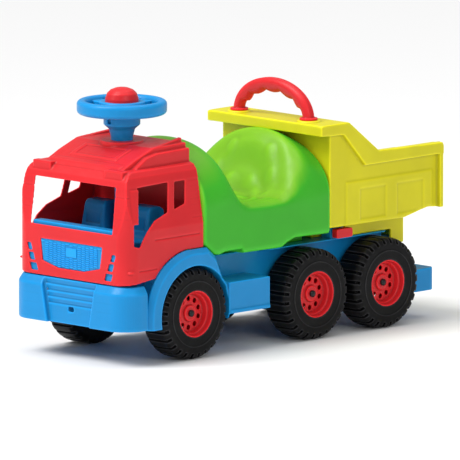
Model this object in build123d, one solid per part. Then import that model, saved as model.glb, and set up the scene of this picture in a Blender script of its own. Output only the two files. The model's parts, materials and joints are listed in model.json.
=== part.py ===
"""Ride-on toy tipper truck, modelled as the separate pieces that it comes apart into.

Millimetres. The truck faces -Y, its left side is +X and +Z is up. The origin is on the ground under
the middle of the truck. Every outline is written from named stations, so that a piece follows the
axle, end or pivot that carries it.
"""
from build123d import *
import math
import os

# Overall sizes
overall_length = 746.0
overall_width = 280.0
wall = 2.8
seam = 0.3
running_fit = 0.06
press_fit = 0.02
touch = 0.1

# Wheels
tyre_radius = 75.0
tyre_width = 55.0
tread_depth = 4.5
tread_lugs = 28
tread_gap = 4.95
shoulder_radius = 11.0
sidewall_ring_radius = 54.1
rim_radius = 38.4
rim_depth = 17.5
rim_length = 46.0
rim_inset = 1.0
rim_hole_radius = 4.2
rim_hole_circle = 23.6
rim_holes = 10
rim_boss_radius = 9.0
hub_radius = 13.0
hub_face_depth = 13.2
axle_radius = 4.0
axle_cap_radius = 5.6
front_overhang = 158.0
rear_overhang = 140.0
tyre_gap = 16.0

# Stations across the truck, as insets from the tyres' outer faces
tyre_outer_x = overall_width / 2
tyre_inner_x = tyre_outer_x - tyre_width
chassis_half = tyre_inner_x - 3.0
deck_half = tyre_outer_x - 40.0
step_half = tyre_outer_x - 2.0
bumper_half = tyre_outer_x - 4.0
rear_bumper_half = tyre_outer_x - 25.0
cab_half = tyre_outer_x - 11.0
seat_half = tyre_outer_x - 10.0
bed_half = tyre_outer_x - 16.0
bed_rim_half = tyre_outer_x - 8.0
hinge_block_half = tyre_outer_x - 45.0
handle_half = tyre_outer_x - 60.0
skirt_half = chassis_half - 12.0
ear_inner_x = skirt_half - 20.0
ear_width = 8.0

# Heights: the chassis hangs on the axles, and all above it stands on the deck
chassis_floor_z = tyre_radius - 13.0
deck_z = 2 * tyre_radius + 4.5
deck_edge = 2.5
deck_corner = 14.0
chassis_tail_gap = 98.0

# Bed pivot, measured from the rear end and the deck
pivot_gap = 83.0
pivot_z = deck_z - 14.5
pin_radius = 4.0

# Mudguards and steps
arch_radius = tyre_radius + 4.5
arch_outer = tyre_radius + 32.0
arch_top_rise = arch_outer - 1.0
step_top_z = deck_z - 36.5
guard_foot_z = chassis_floor_z - 4.0

# Cab
cab_front = front_overhang - 8.0
cab_floor_z = deck_z - 20.5
cab_corner = 28.0
cab_back = 27.0
cab_belt_rise = 62.5
cab_eave_rise = 165.0
roof_tier_half = cab_half - 32.0
bonnet_half = cab_half - 40.3

# Steering, placed from the front axle and the deck
column_back = -32.0
column_radius = 18.0
shaft_radius = 12.0
steering_radius = 73.8
steering_rim = 16.0
hub_top_z = deck_z + 260.5
collar_top_z = hub_top_z - 23.0
collar_radius = 30.2
horn_radius = 27.5
horn_top_z = hub_top_z + 23.0
horn_flange_z = hub_top_z - 10.0

# Seat body and bed
saddle_rise = 82.5
bed_floor_z = deck_z + 22.5

# Handle and latches
handle_tube = 9.75
handle_base_z = pivot_z + 214.05
handle_top_z = pivot_z + 277.0
handle_foot_radius = 15.0
handle_boss_radius = 19.0
knob_length = 37.0
knob_height = 15.0
latch_travel = 4.0

# Screws
screw_radius = 2.0
screw_head_radius = 4.0
screw_head = 2.4

# Stations along the truck
front_y = -overall_length / 2
rear_y = overall_length / 2
front_axle_y = front_y + front_overhang
rear_axle_y = rear_y - rear_overhang
mid_axle_y = rear_axle_y - 2 * tyre_radius - tyre_gap
pivot_y = rear_y - pivot_gap
tail_y = rear_y - chassis_tail_gap
nose_y = front_axle_y - cab_front + 2 * wall + 3 * seam
column_y = front_axle_y + column_back
bed_front_y = pivot_y - 179.0
seat_rear_y = bed_front_y - 4.0
latch_y = pivot_y - 135.5
handle_y = pivot_y - 184.0
step_front_y = front_axle_y + arch_radius - 1.5
step_rear_y = mid_axle_y - tyre_radius - 35.0


# ---- helpers -------------------------------------------------------------------------------------

def block(x_span, y_span, z_span):
    """Box between three (low, high) pairs."""
    size = [high - low for low, high in (x_span, y_span, z_span)]
    middle = [(high + low) / 2 for low, high in (x_span, y_span, z_span)]
    return Pos(*middle) * Box(*size)


def outline(points):
    """Closed flat face through the points."""
    return make_face(Polyline(*points, close=True))


def slab(face, x_low, x_high):
    """A (y, z) face spread between two x positions."""
    return extrude(Plane.YZ.offset(x_low) * face, amount=x_high - x_low)


def across(face, half):
    """A (y, z) face spread evenly either side of the centre plane."""
    return slab(face, -half, half)


def lengthwise(face, y_low, y_high):
    """An (x, z) face spread between two y positions."""
    return extrude(Plane.XZ.offset(-y_high) * face, amount=y_high - y_low)


def upright(face, z_low, z_high):
    """An (x, y) face raised between two heights."""
    return extrude(Plane.XY.offset(z_low) * face, amount=z_high - z_low)


def both_sides(part):
    """The part with its mirror image."""
    return part + mirror(part, about=Plane.YZ)


def axle_way(radius, x_low, x_high, y, z):
    """Cylinder along X."""
    return Pos((x_low + x_high) / 2, y, z) * Rot(0, 90, 0) * Cylinder(radius, x_high - x_low)


def long_way(radius, x, y_low, y_high, z):
    """Cylinder along Y."""
    return Pos(x, (y_low + y_high) / 2, z) * Rot(90, 0, 0) * Cylinder(radius, y_high - y_low)


def post(radius, x, y, z_low, z_high):
    """Cylinder along Z."""
    return Pos(x, y, (z_low + z_high) / 2) * Cylinder(radius, z_high - z_low)


def shifted(points, y=0.0, z=0.0):
    """Outline points moved along the truck and up."""
    return [(py + y, pz + z) for py, pz in points]


def above_deck(points, y=None):
    """Outline points whose heights count from the deck, moved along from station y."""
    return [(py + (front_axle_y if y is None else y), deck_z + pz) for py, pz in points]


def raised(points):
    """(x, height above the deck) points as (x, z)."""
    return [(x, deck_z + height) for x, height in points]


def mirrored_outline(points):
    """Right half (x, z) points closed with their mirror image."""
    return outline(points + [(-x, z) for x, z in reversed(points)])


def turned(points, x=0.0, y=0.0, z=0.0):
    """Ring turned about the X axis from (x, radius) points."""
    face = outline(points)
    return Pos(x, y, z) * revolve(face, axis=Axis.X)


def spun(points, x=0.0, y=0.0):
    """Ring turned about an upright axis from (radius, z) points."""
    face = Plane.XZ * outline(points)
    return Pos(x, y, 0) * revolve(face, axis=Axis.Z)


def rounded_rect(x_span, y_span, radius):
    """Flat rectangle with round corners."""
    width = x_span[1] - x_span[0]
    depth = y_span[1] - y_span[0]
    middle = ((x_span[0] + x_span[1]) / 2, (y_span[0] + y_span[1]) / 2)
    return Pos(*middle) * RectangleRounded(width, depth, radius)


# ---- fasteners -----------------------------------------------------------------------------------

def screw_up(x, y, head_z, length):
    """Screw driven upwards, with its head under head_z."""
    shank = post(screw_radius, x, y, head_z, head_z + length)
    return shank + post(screw_head_radius, x, y, head_z - screw_head, head_z)


def screw_hole_up(x, y, z_low, z_high):
    return post(screw_radius + running_fit, x, y, z_low, z_high)


def screw_back(x, z, head_y, length):
    """Screw driven towards -Y, with its head behind head_y."""
    shank = long_way(screw_radius, x, head_y - length, head_y, z)
    return shank + long_way(screw_head_radius, x, head_y, head_y + screw_head, z)


def screw_hole_back(x, z, y_low, y_high):
    return long_way(screw_radius + running_fit, x, y_low, y_high, z)


cab_screw_x = chassis_half - 8.0
cab_screw_y = nose_y + 17.5
seat_screw_x = chassis_half - 22.0
bumper_screw_x = chassis_half - 27.0
rear_bumper_screw_x = chassis_half - 42.0
deck_screws = {
    "cab": [(side * cab_screw_x, cab_screw_y) for side in (-1, 1)],
    "seat": [(side * seat_screw_x, y) for side in (-1, 1) for y in (front_axle_y + 75.0, seat_rear_y - 40.0)],
}
deck_screw_length = 11.0
end_screw_length = 9.0
bumper_screws = [(side * bumper_screw_x, deck_z - 42.5) for side in (-1, 1)]
rear_bumper_screws = [(side * rear_bumper_screw_x, chassis_floor_z + 11.0) for side in (-1, 1)]
guard_screws = [(step_front_y + 14.0, deck_z - 54.5), (step_rear_y - 15.0, deck_z - 54.5)]
guard_screw_length = 9.0


# ---- wheels --------------------------------------------------------------------------------------

def tyre():
    """Blow-moulded hollow tyre on the +X side, centred on its axle."""
    face_x = tyre_outer_x - 0.8
    bore = rim_radius + seam / 6
    floor = tyre_radius - tread_depth
    section = outline([
        (tyre_inner_x, bore), (face_x, bore), (face_x, tyre_radius), (tyre_inner_x, tyre_radius)])
    crown = [v for v in section.vertices() if v.Y > tyre_radius - 1]
    body = revolve(fillet(crown, shoulder_radius), axis=Axis.X)
    ring = sidewall_ring_radius
    body = body + turned([(face_x - 1, ring - 0.9), (tyre_outer_x, ring - 0.5), (tyre_outer_x, ring + 0.5),
                          (face_x - 1, ring + 0.9)])
    middle = (tyre_inner_x + tyre_outer_x) / 2
    cutter = Pos(middle, 0, tyre_radius + tread_depth) * Box(tyre_width + 2, tread_gap, 4 * tread_depth)
    for index in range(tread_lugs):
        body = body - Rot((index + 0.5) * 360 / tread_lugs, 0, 0) * cutter
    chamber = outline([(tyre_inner_x + wall, bore + wall), (face_x - wall, bore + wall),
                       (face_x - wall, floor - wall), (tyre_inner_x + wall, floor - wall)])
    corners = [v for v in chamber.vertices() if v.Y > floor - wall - 1]
    return body - revolve(fillet(corners, shoulder_radius - 2 * wall), axis=Axis.X)


def rim():
    """Rim on the +X side: lip, stepped dish, holed disc and hub."""
    face = tyre_outer_x - rim_inset
    disc = face - rim_depth
    back = face - rim_length
    lip = rim_radius
    body = turned([
        (back, lip), (face, lip), (face, lip - 1.4), (face - 1.2, lip - 2.0), (face - 8.5, lip - 3.6),
        (face - 9.2, lip - 5.6), (disc, lip - 7.8), (disc, axle_radius), (disc - wall, axle_radius),
        (disc - wall, lip - 4.9), (back, lip - 3.4)])
    hub_back = chassis_half + 2 * seam
    body = body + axle_way(hub_radius, disc - 1, face - hub_face_depth, 0, 0)
    body = body + axle_way(rim_boss_radius, hub_back, disc - 1, 0, 0)
    for index in range(rim_holes):
        angle = math.radians(18 + index * 360 / rim_holes)
        hole_y = rim_hole_circle * math.cos(angle)
        hole_z = rim_hole_circle * math.sin(angle)
        body = body - axle_way(rim_hole_radius, disc - 5, disc + 2, hole_y, hole_z)
    return body - axle_way(axle_radius + running_fit, hub_back - 1, face, 0, 0)


def axle_end_x():
    return tyre_outer_x - rim_inset - hub_face_depth + 3.0


def axle_cap():
    """Push-on cap that holds the wheel on the axle."""
    start = axle_end_x() - 3.0 + seam
    top = start + 5.2
    dome = turned([(start, 0), (start, axle_cap_radius), (top - 2.2, axle_cap_radius),
                   (top - 0.7, axle_cap_radius - 1.8), (top, axle_cap_radius - 3.8), (top, 0)])
    return dome - axle_way(axle_radius + press_fit, start - 1, axle_end_x() + 0.1, 0, 0)


# ---- chassis -------------------------------------------------------------------------------------

def chassis():
    """Open-bottomed box girder with the deck that carries cab, seat and bed."""
    body = block((-chassis_half, chassis_half), (nose_y, tail_y), (chassis_floor_z, deck_z))
    hollow = (chassis_floor_z - 1, deck_z - wall)
    body = body - block((wall - chassis_half, chassis_half - wall), (nose_y + wall, tail_y - wall), hollow)
    deck = rounded_rect((-deck_half, deck_half), (mid_axle_y - tyre_radius - 7.0, tail_y), deck_corner)
    body = body + upright(deck, deck_z - deck_edge, deck_z)
    body = body + chassis_cross_walls()
    body = body + both_sides(latch_housing())
    body = body + both_sides(hinge_ear())
    body = body + column_socket()
    for y in (front_axle_y, mid_axle_y, rear_axle_y):
        boss = axle_way(rim_boss_radius, chassis_half - 16, chassis_half - 1, y, tyre_radius)
        body = body + both_sides(boss)
        body = body - axle_way(axle_radius + press_fit, -chassis_half - 1, chassis_half + 1, y, tyre_radius)
    return body - chassis_holes()


def chassis_cross_walls():
    """Stiffening walls between the axles, set back from the bottom edge."""
    stations = (front_axle_y + 60.0, mid_axle_y - tyre_radius - 15.0, (mid_axle_y + rear_axle_y) / 2)
    span = (1 - chassis_half, chassis_half - 1)
    height = (chassis_floor_z + 14, deck_z - 1)
    walls = [block(span, (y - wall / 2, y + wall / 2), height) for y in stations]
    return walls[0] + walls[1] + walls[2]


def latch_housing():
    """Guide for the latch knob's stem, beside the bed's skirt."""
    body = block((skirt_half + 6, deck_half - 2), (latch_y - 15, latch_y + 15), (deck_z - 1, deck_z + 18))
    slot = (latch_y - 5 - seam, latch_y + 5 + seam)
    body = body - block((skirt_half, deck_half), slot, (deck_z + 6 - seam, deck_z + 14 + seam))
    return body - axle_way(6.4, skirt_half + 9, deck_half, latch_y, deck_z + 10)


def hinge_ear():
    """Ear that carries the bed's pin, behind the tail wall."""
    low, high = ear_inner_x, ear_inner_x + ear_width
    eye = axle_way(11.0, low, high, pivot_y, pivot_z)
    arm = block((low, high), (tail_y - 1, pivot_y), (pivot_z - 11, pivot_z + 11))
    return eye + arm - axle_way(pin_radius + running_fit, low - 1, high + 1, pivot_y, pivot_z)


def column_socket():
    """Cup on the deck in which the steering column turns."""
    bore = shaft_radius + running_fit
    outer = shaft_radius + 4.0
    low, high = deck_z - 1, deck_z + 12
    return spun([(bore, low), (bore, high), (outer, high), (outer, low)], y=column_y)


def chassis_holes():
    """Screw holes in the deck and end walls, and the clear way behind the tow hole."""
    ends = (nose_y - 1, nose_y + wall + 1)
    cut = block((-15, 15), ends, (chassis_floor_z + 6, chassis_floor_z + 38))
    for x, y in deck_screws["cab"] + deck_screws["seat"]:
        cut = cut + screw_hole_up(x, y, deck_z - 10, deck_z + 1)
    for x, z in bumper_screws:
        cut = cut + screw_hole_back(x, z, *ends)
    for x, z in rear_bumper_screws:
        cut = cut + screw_hole_back(x, z, tail_y - wall - 1, tail_y + 1)
    for y, z in guard_screws:
        span = chassis_half + 1
        cut = cut + axle_way(screw_radius + running_fit, -span, span, y, z)
    return cut


def front_bumper():
    """Bumper shell: two proud pods, slats between them and a tow hole."""
    low, high = guard_foot_z + 1.0, cab_floor_z - 1.5
    front = front_y
    back = front_axle_y - arch_outer - 1.0
    half = bumper_half
    plan = rounded_rect((-half, half), (front, back + 80), 40.0)
    body = upright(plan, low, high) & block((-half, half), (front - 1, back), (low, high))
    inner = rounded_rect((wall - half, half - wall), (front + 10.5, back + 90), 34.0)
    body = body - upright(inner, low - 1, high - wall)
    body = body - block((-chassis_half - 1, chassis_half + 1), (front + 11, back + 1), (low - 1, high + 1))
    recess = mirrored_outline([(47.0, low - 1), (60.0, high - 6), (60.0, high + 1)])
    body = body - lengthwise(recess, front - 1, front + 7.5)
    body = body - bumper_slats(front + 7.5, high)
    for x, z in bumper_screws:
        boss = long_way(7.0, x, front + 10, nose_y - touch / 2, z)
        body = body + boss - screw_hole_back(x, z, nose_y - 7, nose_y)
    tow = SlotOverall(13.0, 8.3)
    return body - lengthwise(Pos(0, low + 25.0) * tow, front - 1, front + 12)


def bumper_slats(face_y, top):
    """Grooves between the slats of the bumper's centre."""
    cut = None
    for edge in (9.0, 20.0, 30.0, 42.0):
        groove = block((-46, 46), (face_y - 1, face_y + 1.4), (top - edge - 2.2, top - edge))
        cut = groove if cut is None else cut + groove
    return cut


def guard_outline():
    """Side outline of mudguard and step, around the front axle."""
    foot = guard_foot_z - tyre_radius
    top = arch_top_rise
    start = -math.sqrt(arch_outer ** 2 - foot ** 2)
    shoulder = -math.sqrt(arch_outer ** 2 - top ** 2)
    lift = math.sin(math.radians(45)) * arch_outer
    rise = ThreePointArc((start, foot), (-lift, lift), (shoulder, top))
    rear = arch_radius
    back = Polyline((shoulder, top), (rear - 48.5, top), (rear - 27.5, top - 18), (rear - 12.5, top - 53),
                    (rear - 1.5, step_top_z - tyre_radius), (rear + 4.5, foot + 8), (rear + 2.5, foot),
                    (start, foot))
    return Pos(front_axle_y, tyre_radius) * make_face(rise + back)


def mudguard_step():
    """Left mudguard with the step box behind it, one moulding."""
    outer_x = tyre_outer_x
    inner_x = chassis_half + touch
    face = guard_outline()
    reach = (front_axle_y - arch_outer - 13, front_axle_y + arch_outer + 13)
    ring = slab(face, outer_x - 12.0, outer_x)
    outer_edges = [e for e in ring.edges() if abs(e.center().X - outer_x) < 0.01]
    ring = chamfer([e for e in outer_edges if e.center().Z > guard_foot_z + 1], 8.0)
    hoop = axle_way(arch_radius + wall, inner_x, outer_x - 6, front_axle_y, tyre_radius)
    hoop = hoop - block((0, outer_x), reach, (-tyre_radius, guard_foot_z))
    flange = slab(face, inner_x, inner_x + 2.4)
    flange = flange & block((0, outer_x), reach, (0, deck_z - 4))
    clear = axle_way(arch_radius, 0, outer_x + 1, front_axle_y, tyre_radius)
    body = ring + hoop + flange - clear
    inside = offset(face, amount=-wall)
    body = body - slab(inside, inner_x + 2.4, outer_x - 9.5) + (hoop - clear)
    return body + step_box()


def step_box():
    """Hollow step between the front and middle wheels, open underneath."""
    low = chassis_floor_z + 4.0
    inner_x = chassis_half + touch
    body = block((inner_x, step_half), (step_front_y, step_rear_y), (low, step_top_z))
    body = body + block((step_half - 2, step_half + 1.5), (step_front_y + 4, step_rear_y), (low, low + 5))
    body = body - block((chassis_half + wall, step_half - wall), (step_front_y + wall, step_rear_y - wall),
                        (low - 1, step_top_z - wall))
    for y, z in guard_screws:
        body = body + axle_way(6.0, inner_x, chassis_half + 9, y, z)
        body = body - axle_way(screw_radius + running_fit, chassis_half, chassis_half + 8, y, z)
    return body


def rear_bumper():
    """Rear beam on a tongue that is screwed to the tail wall."""
    half = rear_bumper_half
    low, high = chassis_floor_z - 16.0, chassis_floor_z + 22.0
    front, back = rear_y - 58, rear_y - 4
    beam = upright(rounded_rect((-half, half), (front, back), 12.0), low, high)
    room = rounded_rect((wall - half, half - wall), (front + wall, back - wall), 9.0)
    inner = upright(room, low - 1, high - wall)
    tongue_half = chassis_half - 26.0
    tongue = block((-tongue_half, tongue_half), (tail_y + touch, front + 1), (chassis_floor_z, high))
    channel = block((wall - tongue_half, tongue_half - wall), (tail_y + 7, front + 8),
                    (chassis_floor_z - 1, high - wall))
    body = (beam - inner) + (tongue - channel)
    for x, z in rear_bumper_screws:
        body = body + long_way(6.0, x, tail_y + touch, tail_y + 14, z)
        body = body - screw_hole_back(x, z, tail_y, tail_y + 8)
    return body


# ---- cab -----------------------------------------------------------------------------------------

screen_points = [(cab_half - 35.0, cab_belt_rise), (cab_half - 36.0, 139.5)]
grille_points = [(30.0, -5.0), (66.0, 3.5), (71.0, 39.5)]
front_slots = [(cab_half - 33.0, 24.0, 9.0), (cab_half - 38.0, 8.1, 12.0), (cab_half - 43.0, -8.2, 16.0)]


def cab_side_outline():
    points = [(-cab_front, cab_floor_z - deck_z), (0.5 - cab_front, cab_belt_rise), (10.5 - cab_front, 139.5),
              (13.5 - cab_front, 149.5), (21.0 - cab_front, 158.5), (32.0 - cab_front, 163.5),
              (cab_back, cab_eave_rise), (cab_back, touch)]
    return outline(above_deck(points))


def cab_front_outline():
    lean = [(0.0, cab_floor_z - deck_z), (0.0, 67.5), (8.0, 112.5), (12.5, 142.5), (15.5, 154.5),
            (22.0, 162.5), (29.0, cab_eave_rise)]
    return mirrored_outline(raised([(cab_half - inset, height) for inset, height in lean]))


def cab_plan_outline():
    back = front_axle_y + cab_back + 13.0
    front = front_axle_y - cab_front
    face = outline([(-cab_half, front), (cab_half, front), (cab_half, back), (-cab_half, back)])
    corners = [v for v in face.vertices() if v.Y < front_axle_y]
    return fillet(corners, cab_corner)


def shrunk(face, inset):
    """The face moved in by the inset, with its corners kept sharp."""
    return offset(face, amount=-inset, kind=Kind.INTERSECTION) if inset else face


def cab_form(inset):
    """Solid form of the cab, shrunk by the inset on every side."""
    plan = offset(cab_plan_outline(), amount=-inset) if inset else cab_plan_outline()
    form = across(shrunk(cab_side_outline(), inset), cab_half + 1)
    reach = (front_axle_y - cab_front - 10, front_axle_y + cab_back + 13)
    form = form & lengthwise(shrunk(cab_front_outline(), inset), *reach)
    return form & upright(plan, cab_floor_z - 30, hub_top_z)


def roof_tier(points, half, inset):
    """Raised layer of the roof, hollow inside like the cab under it."""
    return across(shrunk(outline(above_deck(points)), inset), half - inset)


def cab_roof(inset):
    """Lower tier at the sides and the bonnet that slopes down to the windscreen header."""
    base = 145.5
    tier = [(-104, base), (-104, 161.5), (-72, 180.5), (-48, 185.5), (cab_back, 187.5), (cab_back, base)]
    bonnet = [(-124, base), (-124, 162.5), (-90, 178.5), (-49.7, 193.5), (cab_back, 195.5), (cab_back, base)]
    return roof_tier(tier, roof_tier_half, inset) + roof_tier(bonnet, bonnet_half, inset)


def roof_rail():
    """Rail along the bonnet's edge, rising and leaning in towards the rear."""
    front = front_axle_y - 49.7
    back = front_axle_y + cab_back
    plan = outline([(bonnet_half - 7.7, front), (bonnet_half, front), (bonnet_half - 10.2, back),
                    (bonnet_half - 18.2, back)])
    side = outline(above_deck([(-49.7, 190.5), (-49.7, 193.7), (cab_back, 202.2), (cab_back, 190.5)]))
    return upright(plan, deck_z + 185, deck_z + 206) & slab(side, bonnet_half - 30, bonnet_half + 10)


def side_windows():
    """Door window and quarter window in one side wall."""
    door = [(-131, 44.5), (-131, 78.5), (-124, 84.5), (-115, 138), (-43, 140), (-51, 92.5), (-82.5, 82),
            (-102, 66.5), (-112, 53.5), (-119, 41.5)]
    quarter = [(-28, 139.5), (-4, 139.5), (-10, 102.5), (-35, 95.5)]
    reach = (cab_half - 22, cab_half + 10)
    return slab(outline(above_deck(door)), *reach) + slab(outline(above_deck(quarter)), *reach)


def slanted_slot(x, height, width):
    """Air slot beside the grille, leaning outwards."""
    low, high = height - 6, height + 6
    half = width / 2
    lean = 2.0
    return outline(raised([(x - half - lean, low), (x + half - lean, low), (x + half + lean, high),
                           (x - half + lean, high)]))


def cab_front_openings():
    """Windscreen, grille opening and the slots beside it."""
    reach = (front_axle_y - cab_front - 10, front_axle_y - cab_front + 20)
    cut = lengthwise(mirrored_outline(raised(screen_points)), *reach)
    cut = cut + lengthwise(mirrored_outline(raised(grille_points)), *reach)
    for x, height, width in front_slots:
        slot = lengthwise(slanted_slot(x, height, width), reach[0], front_axle_y - cab_front + wall + 1)
        cut = cut + both_sides(slot)
    return cut


def cab_shell():
    """Cab body with its roof, one hollow moulding open underneath."""
    body = cab_form(0) + cab_roof(0) + both_sides(roof_rail())
    body = body - (cab_form(wall) + cab_roof(wall))
    back = front_axle_y + cab_back - wall
    beyond = front_axle_y - 2 * cab_front
    wide = 2 * cab_half
    room = outline([(-wide, beyond), (wide, beyond), (wide, back), (-wide, back)])
    plan = offset(cab_plan_outline(), amount=-wall) & room
    body = body - upright(plan, cab_floor_z - 5, deck_z + 3)
    under = (cab_floor_z - 5, deck_z + touch)
    body = body - block((-chassis_half - 1, chassis_half + 1), (nose_y - 1, back + 30), under)
    guard = offset(guard_outline(), amount=0.4, kind=Kind.INTERSECTION)
    body = body - both_sides(slab(guard, chassis_half - seam, cab_half + 20))
    body = body - both_sides(side_windows()) - cab_front_openings()
    body = body + both_sides(marker_block()) + both_sides(cab_foot())
    body = body - post(column_radius + running_fit, 0, column_y, deck_z + 175, deck_z + 216)
    for x, y in deck_screws["cab"]:
        body = body - screw_hole_up(x, y, deck_z - 1, deck_z + 9)
    return body


def marker_block():
    """Marker lamp block on the header."""
    y = front_axle_y - cab_front + 15
    return block((cab_half - 67, cab_half - 26), (y, y + 14), (deck_z + 151.5, deck_z + cab_eave_rise))


def cab_foot():
    """Foot inside the cab's front corner, screwed down on the deck."""
    base = deck_z + touch
    foot = block((chassis_half - 20, cab_half - 1), (nose_y + 2.5, nose_y + 33.5), (base, base + 3))
    return foot + post(6.0, cab_screw_x, cab_screw_y, base, deck_z + 13)


def front_insert():
    """Grille panel and dashboard ledge behind the cab's front wall."""
    front = front_axle_y - cab_front + wall + 0.7
    half = cab_half - 27.0
    top = deck_z + 58.5
    panel = block((-half, half), (front, front + wall), (cab_floor_z + 1, top))
    ledge = block((-half, half), (front, front + 26), (top - wall, top))
    step = block((8 - half, half - 8), (front + 3.2, front + 22), (top - 1, top + 9))
    fascia = block((-half, half), (front + 26 - wall, front + 26), (top - 13, top))
    grille = offset(mirrored_outline(raised(grille_points)), amount=-seam, kind=Kind.INTERSECTION)
    return panel + ledge + step + fascia + lengthwise(grille, front - 1.6, front + 1)


def cab_seats():
    """Pair of seats in one moulding, standing on the deck either side of the steering column."""
    base = deck_z + touch
    points = [(-105, touch), (-105, 42.5), (-100, 45.5), (-60, 37.5), (-52, 43.5), (-49, 87.5), (-44, 93.5),
              (-12, 93.5), (-6, 85.5), (-5, touch)]
    face = outline(above_deck(points))
    inner_x, outer_x = shaft_radius + 12.0, chassis_half - 4.0
    seat = slab(face, inner_x, outer_x)
    seat = seat - slab(shrunk(face, wall), inner_x + wall, outer_x - wall)
    front, back = front_axle_y - 105, front_axle_y - 5
    mouth = block((inner_x + wall, outer_x - wall), (front + wall, back - wall), (deck_z - 1, deck_z + 4))
    seat = both_sides(seat - mouth)
    return seat + block((-inner_x - 1, inner_x + 1), (front, front + 40), (base, deck_z + 3))


# ---- steering ------------------------------------------------------------------------------------

hub_outer = 38.0
hub_bore = 29.5
horn_flange_radius = 29.1
retainer_radius = 24.0


def steering_column():
    """Collar, cone and shaft down to the cup on the deck."""
    form = spun([
        (0, deck_z + seam), (shaft_radius, deck_z + seam), (shaft_radius, deck_z + 175.5),
        (column_radius, deck_z + 183.5), (column_radius, deck_z + 201.5), (21.75, deck_z + 215.5),
        (collar_radius, deck_z + 222.5), (collar_radius, collar_top_z), (0, collar_top_z)], y=column_y)
    bore = post(shaft_radius - 3, 0, column_y, deck_z - 1, collar_top_z - 6)
    for face in (column_y - collar_radius, column_y + collar_radius):
        form = form - block((-4, 4), (face - 5, face + 5), (collar_top_z - 12, collar_top_z - 4))
    return form - bore


def column_retainer():
    """Snap ring under the roof that keeps the column in."""
    inner = shaft_radius + touch / 2
    low = deck_z + 167.5
    high = low + 3
    return spun([(inner, low), (retainer_radius, low), (retainer_radius, high), (inner, high)], y=column_y)


def steering_wheel():
    """Rim, four spokes and the open hub that guides the horn button."""
    outer = steering_radius
    inner = steering_radius - steering_rim
    low, high = hub_top_z - 21, hub_top_z + 2
    section = outline([(inner, low), (outer, low), (outer, high), (inner, high)])
    ring = fillet(section.vertices(), 7.0)
    body = revolve(Plane.XZ * ring, axis=Axis.Z)
    spoke = block((hub_outer - 8, inner + 4), (-11, 11), (hub_top_z - 17, hub_top_z - 4))
    for angle in (0, 90, 180, 270):
        body = body + Rot(0, 0, angle) * spoke
    body = body - post(hub_outer - 0.5, 0, 0, collar_top_z, horn_top_z)
    lip = horn_radius + 0.4
    hub = spun([(hub_bore, collar_top_z), (hub_outer, collar_top_z + 2), (hub_outer, hub_top_z - 2),
                (hub_outer - 1.5, hub_top_z), (lip, hub_top_z), (lip, hub_top_z - 2),
                (hub_bore, hub_top_z - 2)])
    return Pos(0, column_y, 0) * (body + hub)


def horn_button():
    """Domed horn button with the flange that keeps it in the hub."""
    low = horn_flange_z
    inner = horn_radius - wall
    return spun([
        (0, low + 12), (inner, low + 8), (inner, low), (horn_flange_radius, low),
        (horn_flange_radius, hub_top_z - 2.4), (horn_radius, hub_top_z - 2.2), (horn_radius, hub_top_z + 4),
        (24.5, horn_top_z - 10), (19.0, horn_top_z - 4.5), (10.0, horn_top_z - 0.9),
        (0, horn_top_z)], y=column_y)


def horn_spring():
    """Coil spring under the horn button."""
    return coil(8.0, 0.8, collar_top_z + touch / 2, horn_flange_z + 8.0, 4.0, y=column_y)


def coil(radius, wire, low, high, turns, x=0.0, y=0.0):
    """Coil spring on an upright axis."""
    height = high - low - 2 * wire
    path = Pos(0, 0, low + wire) * Helix(height / turns, height, radius)
    start = path @ 0
    section = Plane(origin=start, z_dir=path % 0) * Circle(wire)
    return Pos(x, y, 0) * sweep(section, path=path, is_frenet=True)


# ---- seat body -----------------------------------------------------------------------------------

def seat_side_outline(inset):
    """Side outline along the middle: front lobe, saddle and back rest."""
    head = cab_back + seam
    below = above_deck([(head, 28.5), (33, 27.5), (53, 11.5), (65, 9.5), (80, 13.5), (118, 13.5),
                        (118.6, 6.5)])
    below = below + above_deck([(-74, 5.5), (-57, 13.5), (-40, 18.5)], mid_axle_y)
    rear = above_deck([(0, 16.5), (0, 168.5), (-25, 177.5), (-36, 184.5), (-46, 181.5), (-60, 145.5),
                       (-80, 101.5)], seat_rear_y)
    saddle = above_deck([(-62, saddle_rise)], mid_axle_y) + above_deck([(134, saddle_rise)])
    lobe = above_deck([(112, 107.5), (98, 167.5), (88, 186.5), (76, 190.5), (45, 187.5), (head, 181.5)])
    return shrunk(outline(below + rear + saddle + lobe), inset)


def seat_front_outline(inset):
    """Arch seen from the rear."""
    arch = [(0, -4.5), (0, 85.5), (8, 117.5), (23, 147.5), (42, 167.5), (70, 180.5), (110, 191.5)]
    return shrunk(mirrored_outline(raised([(seat_half - back, height) for back, height in arch])), inset)


def seat_form(inset):
    form = across(seat_side_outline(inset), seat_half + 1)
    return form & lengthwise(seat_front_outline(inset), front_axle_y, seat_rear_y + 10)


def seat_body():
    """Hollow saddle body that stands on the deck and is screwed to it from below."""
    half = chassis_half - 6.0
    low, high = front_axle_y + 40.0, seat_rear_y - 12.0
    top = deck_z + 45.5
    body = seat_form(0) + block((-half, half), (low, high), (deck_z + touch, top))
    hollow = seat_form(wall)
    hollow = hollow + block((wall - half, half - wall), (low + wall, high - wall), (deck_z + wall, top - 1))
    body = body - hollow
    for x, y in deck_screws["seat"]:
        body = body + post(6.0, x, y, deck_z + touch, deck_z + 12)
        body = body - screw_hole_up(x, y, deck_z - 1, deck_z + 9)
    return body


# ---- bed -----------------------------------------------------------------------------------------

def bed_side_outline():
    points = [(-179, 38), (-4, 36.5), (51, 48), (81, 46), (82, 155), (-71, 157), (-141, 211), (-179, 211)]
    return outline(shifted(points, y=pivot_y, z=pivot_z))


def bed_band_outline():
    points = [(-206.5, 193), (-153, 191), (-102, 135), (83, 135), (83, 147), (80, 154), (-71, 157),
              (-141, 211), (-206.5, 210)]
    return outline(shifted(points, y=pivot_y, z=pivot_z))


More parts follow.
